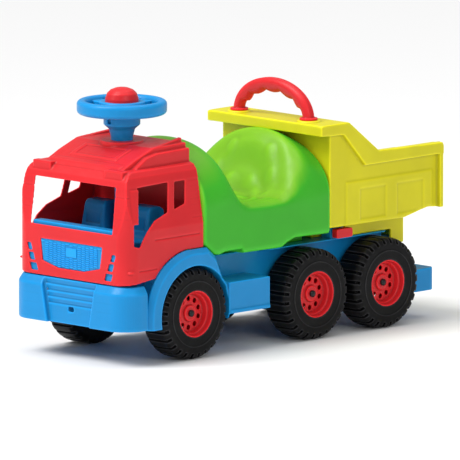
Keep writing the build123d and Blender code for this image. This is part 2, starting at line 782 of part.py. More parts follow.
def bed_raised_band():
    """Raised lower part of the side wall with its two sunk panels."""
    points = [(-141, 39), (-4, 37.5), (51, 49), (60, 52), (60, 109), (-141, 109)]
    body = slab(outline(shifted(points, y=pivot_y, z=pivot_z)), bed_half - 1, bed_half + 1.4)
    for low, high in ((-109, -48), (-22, 40)):
        body = body - block((bed_half, bed_half + 5), (pivot_y + low, pivot_y + high),
                            (pivot_z + 44, pivot_z + 97))
    return body


def tipper_bed():
    """Open tub with its canopy, rim band, skirt and hinge block."""
    tub = across(bed_side_outline(), bed_half)
    inner = shifted([(-179 + wall, 38 + wall), (-4, 36.5 + wall), (51, 48 + wall), (120, 62 + wall),
                     (120, 300), (-179 + wall, 300)], y=pivot_y, z=pivot_z)
    hollow = across(outline(inner), bed_half - wall)
    body = tub - hollow
    body = body + both_sides(slab(bed_band_outline(), bed_half - 1, bed_rim_half))
    body = body + bed_canopy()
    body = body + both_sides(bed_raised_band())
    rear_post = block((bed_half - 1, bed_rim_half), (pivot_y + 73, pivot_y + 81),
                      (pivot_z + 46, pivot_z + 140))
    body = body + both_sides(rear_post)
    body = body + bed_skirt() + both_sides(hinge_side())
    for side in (-1, 1):
        boss_z = (pivot_z + 209, handle_base_z - touch / 2)
        body = body + post(handle_boss_radius, side * handle_half, handle_y, *boss_z)
        body = body - screw_hole_up(side * handle_half, handle_y, pivot_z + 190, pivot_z + 220)
    reach = hinge_block_half + 1
    return body - axle_way(pin_radius + press_fit, -reach, reach, pivot_y, pivot_z)


def bed_canopy():
    """Canopy over the front of the tub, hollow underneath."""
    low, high = pivot_z + 193, pivot_z + 211
    front = pivot_y - 206.5
    back = pivot_y - 141
    body = block((-bed_rim_half, bed_rim_half), (front, back), (low, high))
    corners = [e for e in body.edges().filter_by(Axis.Z) if e.center().Y < front + 1]
    body = fillet(corners, 10.0)
    return body - block((wall - bed_half, bed_half - wall), (front + wall, back + 1), (low - 1, high - wall))


def bed_skirt():
    """Box under the floor that rests on the deck, with the hinge block's rear wall."""
    low = deck_z + seam
    top = bed_floor_z + 2
    span = (latch_y - 30, pivot_y - 12)
    body = block((-skirt_half, skirt_half), span, (low, top))
    body = body - block((wall - skirt_half, skirt_half - wall), (span[0] + wall, span[1] - wall),
                        (low - 1, top - 2))
    rear = block((-hinge_block_half, hinge_block_half), (pivot_y + 20.4, pivot_y + 23),
                 (pivot_z - 11, top + 2))
    return body + rear


def hinge_side():
    """Side of the hinge block, with the pin's bore."""
    points = [(-8, -5), (23, -11), (23, 39), (-8, 39)]
    face = outline(shifted(points, y=pivot_y, z=pivot_z))
    return slab(face, hinge_block_half - wall, hinge_block_half)


def hinge_pin():
    return axle_way(pin_radius, -hinge_block_half - 2, hinge_block_half + 2, pivot_y, pivot_z)


# ---- handle --------------------------------------------------------------------------------------

def carry_handle():
    """Elliptical bow handle on two flanged feet."""
    foot_z = handle_base_z
    rise = handle_top_z - handle_tube - foot_z
    path = Plane.XZ * EllipticalCenterArc((0, foot_z), handle_half, rise, start_angle=0, arc_size=180)
    bow = sweep(Plane.XY.offset(foot_z) * Pos(handle_half, 0) * Circle(handle_tube), path=path)
    feet = both_sides(post(handle_foot_radius, handle_half, 0, foot_z, foot_z + 4))
    body = Pos(0, handle_y, 0) * (bow + feet)
    for side in (-1, 1):
        body = body - screw_hole_up(side * handle_half, handle_y, foot_z - 1, foot_z + 12)
    return body


def handle_screws():
    head = pivot_z + 211 - wall
    screws = [screw_up(side * handle_half, handle_y, head, 16.0) for side in (-1, 1)]
    return screws[0] + screws[1]


# ---- latches -------------------------------------------------------------------------------------

def latch_knob():
    """Left latch knob: rounded pad and a square stem whose nose stops just off the bed's skirt when pressed."""
    middle = deck_z + 10
    pad = extrude(Plane.YZ.offset(deck_half + latch_travel + 0.3) * Pos(latch_y, middle)
                  * RectangleRounded(knob_length, knob_height, 3.0), amount=12.0)
    nose = skirt_half + latch_travel + 0.4
    stem = block((nose, deck_half + latch_travel + 1), (latch_y - 5, latch_y + 5),
                 (middle - 4, middle + 4))
    return pad + stem


# ---- output --------------------------------------------------------------------------------------

def body_screws():
    """Every screw that joins the fixed mouldings."""
    screws = [screw_up(x, y, deck_z - wall, deck_screw_length)
              for x, y in deck_screws["cab"] + deck_screws["seat"]]
    screws = screws + [screw_back(x, z, nose_y + wall, end_screw_length) for x, z in bumper_screws]
    screws = screws + [mirror(screw_back(x, z, -(tail_y - wall), end_screw_length), about=Plane.XZ)
                       for x, z in rear_bumper_screws]
    for y, z in guard_screws:
        shank = axle_way(screw_radius, chassis_half - wall, chassis_half - wall + guard_screw_length, y, z)
        head = axle_way(screw_head_radius, chassis_half - wall - screw_head, chassis_half - wall, y, z)
        screws = screws + [shank + head, mirror(shank + head, about=Plane.YZ)]
    return Compound(children=screws)


def save(part, name):
    export_step(part, os.path.join("parts", name + ".step"))


def save_wheels():
    """Six wheels, their axles and the axle caps."""
    left_tyre, left_rim, left_cap = tyre(), rim(), axle_cap()
    pairs = {"left": (left_tyre, left_rim), "right": (mirror(left_tyre, about=Plane.YZ),
                                                        mirror(left_rim, about=Plane.YZ))}
    caps = []
    for station, y in (("front", front_axle_y), ("middle", mid_axle_y), ("rear", rear_axle_y)):
        place = Pos(0, y, tyre_radius)
        for side, (one_tyre, one_rim) in pairs.items():
            save(place * one_tyre, f"tyre_{station}_{side}")
            save(place * one_rim, f"rim_{station}_{side}")
        caps = caps + [place * left_cap, place * mirror(left_cap, about=Plane.YZ)]
        save(axle_way(axle_radius, -axle_end_x(), axle_end_x(), y, tyre_radius), f"axle_{station}")
    save(Compound(children=caps), "axle_caps")


def main():
    os.makedirs("parts", exist_ok=True)
    save_wheels()
    left_guard = mudguard_step()
    left_knob = latch_knob()
    pieces = {
        "chassis": chassis(), "front_bumper": front_bumper(), "mudguard_step_left": left_guard,
        "mudguard_step_right": mirror(left_guard, about=Plane.YZ), "rear_bumper": rear_bumper(),
        "cab_shell": cab_shell(), "front_insert": front_insert(), "cab_seats": cab_seats(),
        "steering_column": steering_column(), "column_retainer": column_retainer(),
        "steering_wheel": steering_wheel(), "horn_button": horn_button(), "horn_spring": horn_spring(),
        "seat_body": seat_body(), "tipper_bed": tipper_bed(), "hinge_pin": hinge_pin(),
        "carry_handle": carry_handle(), "handle_screws": handle_screws(), "latch_knob_left": left_knob,
        "latch_knob_right": mirror(left_knob, about=Plane.YZ), "body_screws": body_screws(),
    }
    for name, piece in pieces.items():
        save(piece, name)


main()
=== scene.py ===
"""The look of a ride-on toy tipper truck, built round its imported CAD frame.

Blender works in metres, +Z up, and the truck faces -Y. The shapes are given in millimetres and scaled by MM.
"""
import json
import math

import bmesh
import bpy
from mathutils import Matrix, Vector


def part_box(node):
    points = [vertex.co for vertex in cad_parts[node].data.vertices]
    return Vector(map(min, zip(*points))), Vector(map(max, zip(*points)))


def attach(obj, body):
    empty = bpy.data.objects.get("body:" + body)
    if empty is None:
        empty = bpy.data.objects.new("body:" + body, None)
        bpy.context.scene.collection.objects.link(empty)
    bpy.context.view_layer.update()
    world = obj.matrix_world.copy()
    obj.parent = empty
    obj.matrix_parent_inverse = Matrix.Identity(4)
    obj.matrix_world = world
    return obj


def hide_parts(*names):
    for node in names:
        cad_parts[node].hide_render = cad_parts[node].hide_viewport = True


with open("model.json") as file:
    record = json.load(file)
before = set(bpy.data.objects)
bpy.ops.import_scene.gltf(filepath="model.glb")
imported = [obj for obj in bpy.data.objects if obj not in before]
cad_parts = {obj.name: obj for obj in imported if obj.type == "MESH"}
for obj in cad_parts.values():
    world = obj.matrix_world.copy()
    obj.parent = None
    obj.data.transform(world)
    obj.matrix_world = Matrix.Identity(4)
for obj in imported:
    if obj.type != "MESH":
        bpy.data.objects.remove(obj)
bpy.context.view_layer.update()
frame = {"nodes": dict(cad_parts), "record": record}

MM = 0.001

# Voxel sizes of the mouldings, in metres
FINE = 0.0009
MEDIUM = 0.0012

# Stations read from the frame
bumper_low, bumper_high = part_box("front_bumper")
handle_low, handle_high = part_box("carry_handle")
tyre_low, tyre_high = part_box("tyre_front_left")
AXLE = (tyre_low.y + tyre_high.y) / 2 / MM
SEAT_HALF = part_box("seat_body")[1].x / MM


# ---- materials -----------------------------------------------------------------------------------

def material(name):
    mat = bpy.data.materials.new(name)
    mat.use_nodes = True
    nodes = mat.node_tree.nodes
    return mat, mat.node_tree, nodes["Principled BSDF"]


def noise_node(tree, scale, detail=3.0, roughness=0.5):
    coords = tree.nodes.new("ShaderNodeTexCoord")
    texture = tree.nodes.new("ShaderNodeTexNoise")
    texture.inputs["Scale"].default_value = scale
    texture.inputs["Detail"].default_value = detail
    texture.inputs["Roughness"].default_value = roughness
    tree.links.new(coords.outputs["Object"], texture.inputs["Vector"])
    return texture


def ramp(tree, source, low, high, low_value, high_value):
    """Maps a 0-1 signal between two greys or colours."""
    node = tree.nodes.new("ShaderNodeValToRGB")
    node.color_ramp.elements[0].position = low
    node.color_ramp.elements[1].position = high
    node.color_ramp.elements[0].color = low_value
    node.color_ramp.elements[1].color = high_value
    tree.links.new(source, node.inputs["Fac"])
    return node.outputs["Color"]


def grey(value):
    return (value, value, value, 1.0)


def shade(colour, factor):
    return tuple(min(1.0, c * factor) for c in colour[:3]) + (1.0,)


def bump(tree, shader, layers, distance=0.0004, strength=0.3):
    """Adds the layered heights to the surface normal."""
    height = layers[0]
    for extra in layers[1:]:
        add = tree.nodes.new("ShaderNodeMath")
        add.operation = "ADD"
        tree.links.new(height, add.inputs[0])
        tree.links.new(extra, add.inputs[1])
        height = add.outputs[0]
    node = tree.nodes.new("ShaderNodeBump")
    node.inputs["Distance"].default_value = distance
    node.inputs["Strength"].default_value = strength
    tree.links.new(height, node.inputs["Height"])
    tree.links.new(node.outputs["Normal"], shader.inputs["Normal"])


def painted_curvature_light(tree, shader, low, high, start=0.46, end=0.54):
    """Paints shade into the hollows and highlights onto the edges, by the curvature of the surface."""
    geometry = tree.nodes.new("ShaderNodeNewGeometry")
    # painted shade in the hollows, painted highlights on the edges
    painted_light_tone = ramp(tree, geometry.outputs["Pointiness"], start, end, grey(low), grey(high))
    mix = tree.nodes.new("ShaderNodeMix")
    mix.data_type = "RGBA"
    mix.blend_type = "MULTIPLY"
    mix.inputs[0].default_value = 1.0
    tree.links.new(shader.inputs["Base Color"].links[0].from_socket, mix.inputs[6])
    tree.links.new(painted_light_tone, mix.inputs[7])
    tree.links.new(mix.outputs[2], shader.inputs["Base Color"])


def plastic(name, colour, rough=0.34, variation=0.05, grain=2600.0, waviness=0.35):
    """Moulded plastic: pigment clouds, uneven gloss, fine grain and the slow waves of a cooled wall."""
    mat, tree, shader = material(name)
    clouds = noise_node(tree, 14.0, 4.0)
    pale, deep = shade(colour, 1 + variation), shade(colour, 1 - variation)
    tint = ramp(tree, clouds.outputs["Fac"], 0.3, 0.7, deep, pale)
    tree.links.new(tint, shader.inputs["Base Color"])
    scuffs = noise_node(tree, 90.0, 6.0, 0.65)
    gloss = ramp(tree, scuffs.outputs["Fac"], 0.35, 0.7, grey(rough - 0.05), grey(rough + 0.09))
    tree.links.new(gloss, shader.inputs["Roughness"])
    fine = noise_node(tree, grain, 2.0)
    waves = noise_node(tree, 22.0, 1.0)
    scaled = tree.nodes.new("ShaderNodeMath")
    scaled.operation = "MULTIPLY"
    scaled.inputs[1].default_value = waviness * 6
    tree.links.new(waves.outputs["Fac"], scaled.inputs[0])
    bump(tree, shader, [fine.outputs["Fac"], scaled.outputs[0]], 0.0003, 0.22)
    shader.inputs["IOR"].default_value = 1.5
    shader.inputs["Specular IOR Level"].default_value = 0.24
    shader.inputs["Subsurface Weight"].default_value = 0.06
    shader.inputs["Subsurface Radius"].default_value = (0.004, 0.003, 0.002)
    shader.inputs["Subsurface Scale"].default_value = 0.6
    # painted shade in the hollows and painted highlights on the edges
    painted_curvature_light(tree, shader, 0.62, 1.38)
    return mat


def painted_facing_light(mat, first, painted_lit_colour, axis, low, high):
    """Paints light onto the plastic: its tint turns to a lighter colour where the wall faces along an axis,
    towards the light.
    """
    tree = mat.node_tree
    shader = tree.nodes["Principled BSDF"]
    coords = tree.nodes.new("ShaderNodeTexCoord")
    facing = tree.nodes.new("ShaderNodeVectorMath")
    facing.operation = "DOT_PRODUCT"
    facing.inputs[1].default_value = Vector(axis).normalized()
    tree.links.new(coords.outputs["Normal"], facing.inputs[0])
    # share of painted light, by how far the wall faces the light above and in front
    share = ramp(tree, facing.outputs["Value"], low, high, grey(0.0), grey(1.0))
    clouds = noise_node(tree, 16.0, 3.0)
    base = ramp(tree, clouds.outputs["Fac"], 0.3, 0.7, shade(first, 0.96), shade(first, 1.04))
    mix = tree.nodes.new("ShaderNodeMix")
    mix.data_type = "RGBA"
    tree.links.new(share, mix.inputs[0])
    tree.links.new(base, mix.inputs[6])
    mix.inputs[7].default_value = (*painted_lit_colour, 1.0)
    tree.links.new(mix.outputs[2], shader.inputs["Base Color"])
    # painted shade in the hollows and painted highlights on the edges
    painted_curvature_light(tree, shader, 0.62, 1.38)


def rubber(name, colour):
    """Matt black moulded tyre with a fine grain, random dust and painted highlights on its edges."""
    mat, tree, shader = material(name)
    dust = noise_node(tree, 60.0, 6.0, 0.7)
    tint = ramp(tree, dust.outputs["Fac"], 0.35, 0.75, shade(colour, 0.8), shade(colour, 1.9))
    tree.links.new(tint, shader.inputs["Base Color"])
    scuffs = noise_node(tree, 220.0, 4.0)
    gloss = ramp(tree, scuffs.outputs["Fac"], 0.3, 0.7, grey(0.30), grey(0.46))
    tree.links.new(gloss, shader.inputs["Roughness"])
    fine = noise_node(tree, 1800.0, 3.0)
    bump(tree, shader, [fine.outputs["Fac"]], 0.0003, 0.35)
    shader.inputs["Specular IOR Level"].default_value = 0.10
    # painted highlights on the edges of the lugs and painted shade in the hollows
    painted_curvature_light(tree, shader, 0.8, 7.0, 0.505, 0.54)
    return mat


def metal(name, colour):
    """Zinc-plated steel with drawn lines."""
    mat, tree, shader = material(name)
    coords = tree.nodes.new("ShaderNodeTexCoord")
    stretch = tree.nodes.new("ShaderNodeMapping")
    stretch.inputs["Scale"].default_value = (40.0, 900.0, 900.0)
    lines = tree.nodes.new("ShaderNodeTexNoise")
    lines.inputs["Scale"].default_value = 2.0
    tree.links.new(coords.outputs["Object"], stretch.inputs["Vector"])
    tree.links.new(stretch.outputs["Vector"], lines.inputs["Vector"])
    tint = ramp(tree, lines.outputs["Fac"], 0.3, 0.7, shade(colour, 0.85), shade(colour, 1.1))
    tree.links.new(tint, shader.inputs["Base Color"])
    gloss = ramp(tree, lines.outputs["Fac"], 0.3, 0.7, grey(0.24), grey(0.4))
    tree.links.new(gloss, shader.inputs["Roughness"])
    shader.inputs["Metallic"].default_value = 1.0
    return mat


RED = (0.68, 0.020, 0.026)
BLUE = (0.006, 0.255, 0.600)
GREEN = (0.046, 0.430, 0.020)
# painted lit colour of the green, on faces towards the light above and in front
GREEN_PAINTED_LIGHT = (0.185, 0.440, 0.012)
YELLOW = (0.68, 0.625, 0.011)
BLACK = (0.0050, 0.0050, 0.0054)

# Finish of each material slot of the record
MATERIALS = {
    "red_plastic": plastic("red_plastic", RED),
    "blue_plastic": plastic("blue_plastic", BLUE),
    "green_plastic": plastic("green_plastic", GREEN, rough=0.36, waviness=0.6),
    "yellow_plastic": plastic("yellow_plastic", YELLOW, rough=0.38),
    "black_tyre": rubber("black_tyre", BLACK),
    "black_cap": plastic("black_cap", (0.012, 0.012, 0.013), rough=0.2),
    "steel": metal("steel", (0.6, 0.6, 0.62)),
}
# painted light: the green turns lime where it faces up and forward
painted_facing_light(MATERIALS["green_plastic"], GREEN, GREEN_PAINTED_LIGHT, (0.05, -0.72, 0.69), 0.35, 0.95)


# ---- mesh tools ----------------------------------------------------------------------------------

def mesh_object(name, verts, faces):
    mesh = bpy.data.meshes.new(name)
    mesh.from_pydata([tuple(v) for v in verts], [], faces)
    mesh.update()
    obj = bpy.data.objects.new(name, mesh)
    bpy.context.scene.collection.objects.link(obj)
    tidy_normals(obj)
    return obj


def tidy_normals(obj):
    bm = bmesh.new()
    bm.from_mesh(obj.data)
    bmesh.ops.recalc_face_normals(bm, faces=bm.faces)
    bm.to_mesh(obj.data)
    bm.free()


def skin(rows, width):
    """Faces of a closed loft: bands between its loops, and a cap at each end."""
    faces = [list(range(width)), [(rows - 1) * width + k for k in range(width)]]
    for row in range(rows - 1):
        start, above = row * width, (row + 1) * width
        for k in range(width):
            after = (k + 1) % width
            faces.append([start + k, start + after, above + after, above + k])
    return faces


def prism(points, low, high, axis):
    """Closed prism from a flat outline in millimetres. axis is the direction that it is spread along."""
    count = len(points)
    place = {
        "x": lambda a, b, c: (c, a, b),
        "y": lambda a, b, c: (a, c, b),
        "z": lambda a, b, c: (a, b, c),
    }[axis]
    verts = [Vector(place(a, b, level)) * MM for level in (low, high) for a, b in points]
    return mesh_object("tool", verts, skin(2, count))


def circle(x, y, radius, count):
    turns = [math.tau * k / count for k in range(count)]
    return [(x + radius * math.cos(turn), y + radius * math.sin(turn)) for turn in turns]


def box(x_span, y_span, z_span):
    (left, right), (front, back) = x_span, y_span
    return prism([(left, front), (right, front), (right, back), (left, back)], z_span[0], z_span[1], "z")


def mirrored(obj):
    """A copy of a tool on the other side of the truck."""
    copy = bpy.data.objects.new("tool", obj.data.copy())
    copy.data.transform(Matrix.Scale(-1, 4, Vector((1, 0, 0))))
    copy.data.flip_normals()
    bpy.context.scene.collection.objects.link(copy)
    return copy


def both(obj):
    return [obj, mirrored(obj)]


def evaluated(obj, name):
    """The object with its modifiers applied, as a new object; the old one is removed."""
    graph = bpy.context.evaluated_depsgraph_get()
    mesh = bpy.data.meshes.new_from_object(obj.evaluated_get(graph), depsgraph=graph)
    made = bpy.data.objects.new(name, mesh)
    bpy.context.scene.collection.objects.link(made)
    bpy.data.objects.remove(obj)
    made.name = name
    mesh.name = name
    return made


def copy_of(node):
    obj = bpy.data.objects.new("work", frame["nodes"][node].data.copy())
    bpy.context.scene.collection.objects.link(obj)
    bm = bmesh.new()
    bm.from_mesh(obj.data)
    bmesh.ops.remove_doubles(bm, verts=bm.verts, dist=0.00001)
    bmesh.ops.recalc_face_normals(bm, faces=bm.faces)
    bm.to_mesh(obj.data)
    bm.free()
    return obj


def join(objects):
    """Objects as one mesh."""
    target = bmesh.new()
    for obj in objects:
        target.from_mesh(obj.data)
        bpy.data.objects.remove(obj)
    mesh = bpy.data.meshes.new("work")
    target.to_mesh(mesh)
    target.free()
    made = bpy.data.objects.new("work", mesh)
    bpy.context.scene.collection.objects.link(made)
    return made


def cut(obj, cutters):
    """Takes the cutters away from the object."""
    cutter = join(cutters)
    modifier = obj.modifiers.new("cut", "BOOLEAN")
    modifier.operation = "DIFFERENCE"
    modifier.solver = "EXACT"
    modifier.use_self = True
    modifier.object = cutter
    made = evaluated(obj, "work")
    bpy.data.objects.remove(cutter)
    return made


def moulded(obj, name, grain=MEDIUM, smoothing=6):
    """Fuses the pieces of a moulding and rounds its edges as a mould does."""
    remesh = obj.modifiers.new("remesh", "REMESH")
    remesh.mode = "VOXEL"
    remesh.voxel_size = grain * 1.0
    remesh.adaptivity = 0.0
    smooth = obj.modifiers.new("smooth", "SMOOTH")
    smooth.factor = 0.5
    smooth.iterations = smoothing
    made = evaluated(obj, name)
    made.data.shade_smooth()
    return made


def finish_piece(obj, body, slot, *nodes):
    """Material, body, slot and the CAD nodes that the piece stands for."""
    obj.data.materials.clear()
    obj.data.materials.append(MATERIALS[slot])
    if nodes:
        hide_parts(*nodes)
    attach(obj, body)
    return obj


BODY_OF = {node: body for body, nodes in frame["record"]["behaviour"]["bodies"].items() for node in nodes}
SLOT_OF = {part["node"]: part["material_slot"] for part in frame["record"]["subparts"]}


def softened(node, grain=MEDIUM, smoothing=6, adds=(), cuts=()):
    """The CAD node with details added or cut, as one rounded moulding that stands for it."""
    work = copy_of(node)
    if cuts:
        work = cut(work, list(cuts))
    if adds:
        work = join([work] + list(adds))
    piece = moulded(work, node + ".look", grain, smoothing)
    return finish_piece(piece, BODY_OF[node], SLOT_OF[node], node)


# ---- seat ----------------------------------------------------------------------------------------

# station from the front axle, crown height, height where the arch springs, squareness, depth of the dish
SEAT_STATIONS = [
    (27.3, 336, 238, 2.1, 0), (45, 342, 240, 2.1, 0), (72, 346, 243, 2.15, 0), (88, 342, 243, 2.2, 0),
    (98, 322, 238, 2.2, 0), (108, 284, 228, 2.6, 2), (120, 250, 222, 4.0, 7), (134, 241, 220, 5.0, 10),
    (180, 239, 219, 5.5, 11), (218, 242, 219, 5.0, 13), (240, 262, 220, 3.6, 16), (260, 302, 222, 2.5, 15),
    (275, 330, 224, 2.15, 8), (287, 339, 225, 2.05, 2), (300, 334, 228, 2.0, 0), (322, 323, 236, 2.0, 0)]
SEAT_FOOTLINE = [(27.3, 183), (33, 182), (53, 166), (65, 164), (80, 168), (118, 168), (119, 161), (208, 160),
                 (225, 168), (242, 173), (322, 171)]
SEAT_PADS = [(34, 214), (74, 222), (22, 241), (62, 248), (44, 268)]
SEAT_BUMPS = [(side * x, y) for x, y in SEAT_PADS for side in (-1, 1)]
SEAT_COLUMNS = 120
RIDGE_HEIGHT = 2.3
RIDGE_PITCH = 29.0
PAD_HEIGHT = 3.4


def interpolated(rows, at):
    """Values of a table row at a station, linear between rows."""
    if at <= rows[0][0]:
        return rows[0][1:]
    for before, after in zip(rows, rows[1:]):
        if at <= after[0]:
            share = (at - before[0]) / (after[0] - before[0])
            return tuple(p + (q - p) * share for p, q in zip(before[1:], after[1:]))
    return rows[-1][1:]


def eased(rows, at, reach):
    """The same, with the corners of the table eased over a short reach."""
    samples = [interpolated(rows, at + reach * step / 4) for step in range(-4, 5)]
    return tuple(sum(column) / len(samples) for column in zip(*samples))


def seat_relief(x, y, dish):
    """Sweeping ridges and oval pads moulded into the dished back rest."""
    ring = math.hypot(x, (y - 190.0) * 1.15)
    fade = min(1.0, dish / 9.0) * min(1.0, ring / 40.0)
    relief = RIDGE_HEIGHT * math.sin(ring / RIDGE_PITCH * math.tau) * fade
    for bump_x, bump_y in SEAT_BUMPS:
        spread = ((x - bump_x) / 10.0) ** 2 + ((y - bump_y) / 7.0) ** 2
        relief += PAD_HEIGHT * math.exp(-spread * spread)
    return relief


def seat_section(y, inset):
    """Closed (x, z) loop of the seat at one station, in millimetres."""
    crown, spring, square, dish = eased(SEAT_STATIONS, y, 7.0)
    foot = eased(SEAT_FOOTLINE, y, 1.5)[0] + inset
    half = SEAT_HALF - inset
    loop = []
    for step in range(SEAT_COLUMNS + 1):
        angle = math.pi * step / SEAT_COLUMNS
        across = math.copysign(abs(math.cos(angle)) ** (2 / square), math.cos(angle))
        x = half * across
        z = spring + (crown - inset - spring) * math.sin(angle) ** (2 / square)
        bowl = max(0.0, 1 - (x / 112.0) ** 2) ** 1.2
        if dish > 0.2:
            z += bowl * (seat_relief(x, y, dish) - dish)
        loop.append((x, z))
    steps = 10
    for step in range(1, steps):
        loop.append((-half, spring + (foot + 4 - spring) * step / steps))
    loop += [(-half, foot + 4), (-half + 1.2, foot + 1.2), (-half + 4, foot)]
    loop += [(half - 4, foot), (half - 1.2, foot + 1.2), (half, foot + 4)]
    for step in range(steps - 1, 0, -1):
        loop.append((half, spring + (foot + 4 - spring) * step / steps))
    return loop


def seat():
    """Smooth saddle with a lobe at each end, a dished back rest and moulded relief."""
    base = AXLE
    front, rear, rounding = 27.3, 322.0, 5.0
    rows = [(front, 12.0), (front, rounding), (front + 1.4, 1.6), (front + 5.0, 0.0)]
    rows += [(front + 5.0 + 2.0 * k, 0.0) for k in range(1, int((rear - front - 10) / 2.0) + 1)]
    rows += [(rear - 4.0, 0.0), (rear - 1.2, 1.4), (rear, rounding), (rear, 14.0)]
    verts = []
    for y, inset in rows:
        loop = seat_section(y, inset)
        verts += [(x * MM, (base + y) * MM, z * MM) for x, z in loop]
    width = len(verts) // len(rows)
    faces = skin(len(rows), width)
    piece = mesh_object("seat_body.look", verts, faces)
    piece.data.shade_smooth()
    finish_piece(piece, "truck", "green_plastic", "seat_body")
    foot = moulded(box((-76, 76), (base + 40, base + 310), (154.6, 185)), "seat_foot.look")
    finish_piece(foot, "truck", "green_plastic")


# ---- handle --------------------------------------------------------------------------------------

def handle():
    """Bow handle with five finger lobes inside, a groove outside and flanged feet."""
    tube, half = 9.75, 80.0
    y = (handle_low.y + handle_high.y) / 2 / MM
    base = handle_low.z / MM
    rise = handle_high.z / MM - tube - base
    lobes, lobe_from, lobe_to = 5, math.radians(21), math.radians(159)
    rings, sides = 160, 40
    verts = []
    for ring in range(rings + 1):
        turn = math.pi * ring / rings
        centre = Vector((half * math.cos(turn), rise * math.sin(turn)))
        outward = Vector((rise * math.cos(turn), half * math.sin(turn))).normalized()
        share = (turn - lobe_from) / (lobe_to - lobe_from)
        lobe = 0.0
        if 0.0 < share < 1.0:
            ends = min(1.0, 12 * share, 12 * (1 - share))
            lobe = (1.2 + 5.0 * abs(math.sin(share * lobes * math.pi)) ** 0.8) * ends
        for side in range(sides):
            angle = math.tau * side / sides
            out, along = math.cos(angle), math.sin(angle)
            radius = tube - 1.3 * math.exp(-((angle if angle < math.pi else angle - math.tau) / 0.3) ** 2)
            reach = radius * out - (lobe * (-out) ** 1.5 if out < 0 else 0.0)
            point = centre + outward * reach
            verts.append((point.x * MM, (y + radius * along) * MM, (base + max(0.0, point.y)) * MM))
    bow = mesh_object("tool", verts, skin(rings + 1, sides))
    feet = [disc(side * half, y, 15.0, base, base + 4.0) for side in (-1, 1)]
    piece = moulded(join([bow] + feet), "carry_handle.look", FINE, 5)
    finish_piece(piece, "bed", "red_plastic", "carry_handle")


def disc(x, y, radius, low, high, count=48):
    """Round upright slab."""
    return prism(circle(x, y, radius, count), low, high, "z")


# ---- cab -----------------------------------------------------------------------------------------

CAB_WALL = [(134, 129.0), (222, 129.0), (267, 121.0), (297, 116.5), (320, 112.0)]


def cab_wall_x(z):
    """Outer half width of the cab at a height."""
    return interpolated(CAB_WALL, z)[0]


def grab_block():
    """Ribbed block on the windscreen pillar that follows the cab's round corner."""
    base = AXLE
    proud, corner = 2.2, 28.0
    centre_x, centre_y = 129.0 - corner, base - 150.0 + corner
    side = [(base - 146, 235), (base - 122, 235), (base - 113, 290), (base - 137, 290)]
    levels = [235 + 55 * k / 10 for k in range(11)]
    verts = []
    count = 16
    for z in levels:
        lean = cab_wall_x(z) - 129.0
        share = (z - 235) / 55
        front = side[0][0] + (side[3][0] - side[0][0]) * share
        back = side[1][0] + (side[2][0] - side[1][0]) * share
        outer, inner = [], []
        for k in range(count + 1):
            y = front + (back - front) * k / count
            depth = min(0.0, y - centre_y)
            bend = math.sqrt(max(0.0, corner ** 2 - depth ** 2))
            surface = centre_x + bend + lean
            outer.append((surface + proud, y))
            inner.append((surface - 1.5, y))
        loop = outer + inner[::-1]
        verts += [(x * MM, y * MM, z * MM) for x, y in loop]
    width = 2 * (count + 1)
    return mesh_object("tool", verts, skin(len(levels), width))


def cab_grooves():
    """Crease lines, corner seam, rear louvres and the notches of the grab blocks."""
    base = AXLE
    tools = [box((127.5, 132), (base - 85, base + 19), (204.2, 206.4)),
             box((127.5, 132), (base - 121, base - 79), (156.2, 158.4))]
    for k in range(7):
        z = 232.0 + 10.0 * k
        tools.append(box((cab_wall_x(z) - 0.8, 132), (base + 3, base + 30), (z, z + 1.5)))
    for k in range(4):
        z = 243.0 + 11.5 * k
        back = base - 137 + 0.16 * (z - 235)
        tools.append(box((cab_wall_x(z) - 30, 134), (base - 150, back), (z, z + 1.6)))
    made = []
    for tool in tools:
        made += both(tool)
    return made


def bonnet_details():
    """Raised hatch on the bonnet, lip above the header and the plate round the column."""
    base = AXLE
    hatch_side = [(-99, 330.6), (-90, 335.0), (-63, 344.6), (-63, 335), (-99, 320)]
    well_side = [(-95, 334.2), (-86, 338.2), (-67, 345.0), (-67, 341.6), (-90, 333.4), (-95, 330.9)]
    lip_side = [(-122, 319.0), (-117, 322.6), (-108, 325.5), (-108, 318), (-122, 314)]
    hatch, well, lip = (prism([(base + y, z) for y, z in side], -half, half, "x")
                        for side, half in ((hatch_side, 53), (well_side, 45), (lip_side, 80)))
    plate = disc(0, base - 32, 36.0, 345, 351.4)
    return hatch, well, lip, plate


def cab():
    hatch, well, lip, plate = bonnet_details()
    raised = cut(join([hatch]), [well])
    softened("cab_shell", MEDIUM, 5, adds=[raised, lip, plate] + both(grab_block()), cuts=cab_grooves())


def grille_weave():
    """Rows of short staggered bars and a blank badge, standing on the grille panel."""
    base = AXLE
    back, face = base - 147.0, base - 149.3
    pitch_x, pitch_z = 9.3, 3.5
    bars = []
    for column in range(-7, 8):
        x = column * pitch_x
        for row in range(14):
            z = 149.0 + pitch_z * (row + (0.5 if column % 2 else 0.0))
            edge = 66 + 5 * (z - 158) / 36 if z > 158 else 30 + 36 * (z - 149.5) / 8.5
            if z + 2.4 > 192.5 or z < 150.5 or abs(x) + 4.2 > edge - 1.0 or (abs(x) < 13 and 168 < z < 186):
                continue
            bars.append(box((x - 4.0, x + 4.0), (face, back), (z, z + 2.2)))
    bars.append(box((-12, 12), (face - 0.4, back), (170, 184.5)))
    weave = join(bars)
    bevel = weave.modifiers.new("bevel", "BEVEL")
    bevel.width = 0.0005
    bevel.segments = 2
    piece = evaluated(weave, "grille_weave")
    finish_piece(piece, "truck", "blue_plastic")


# ---- bumper --------------------------------------------------------------------------------------

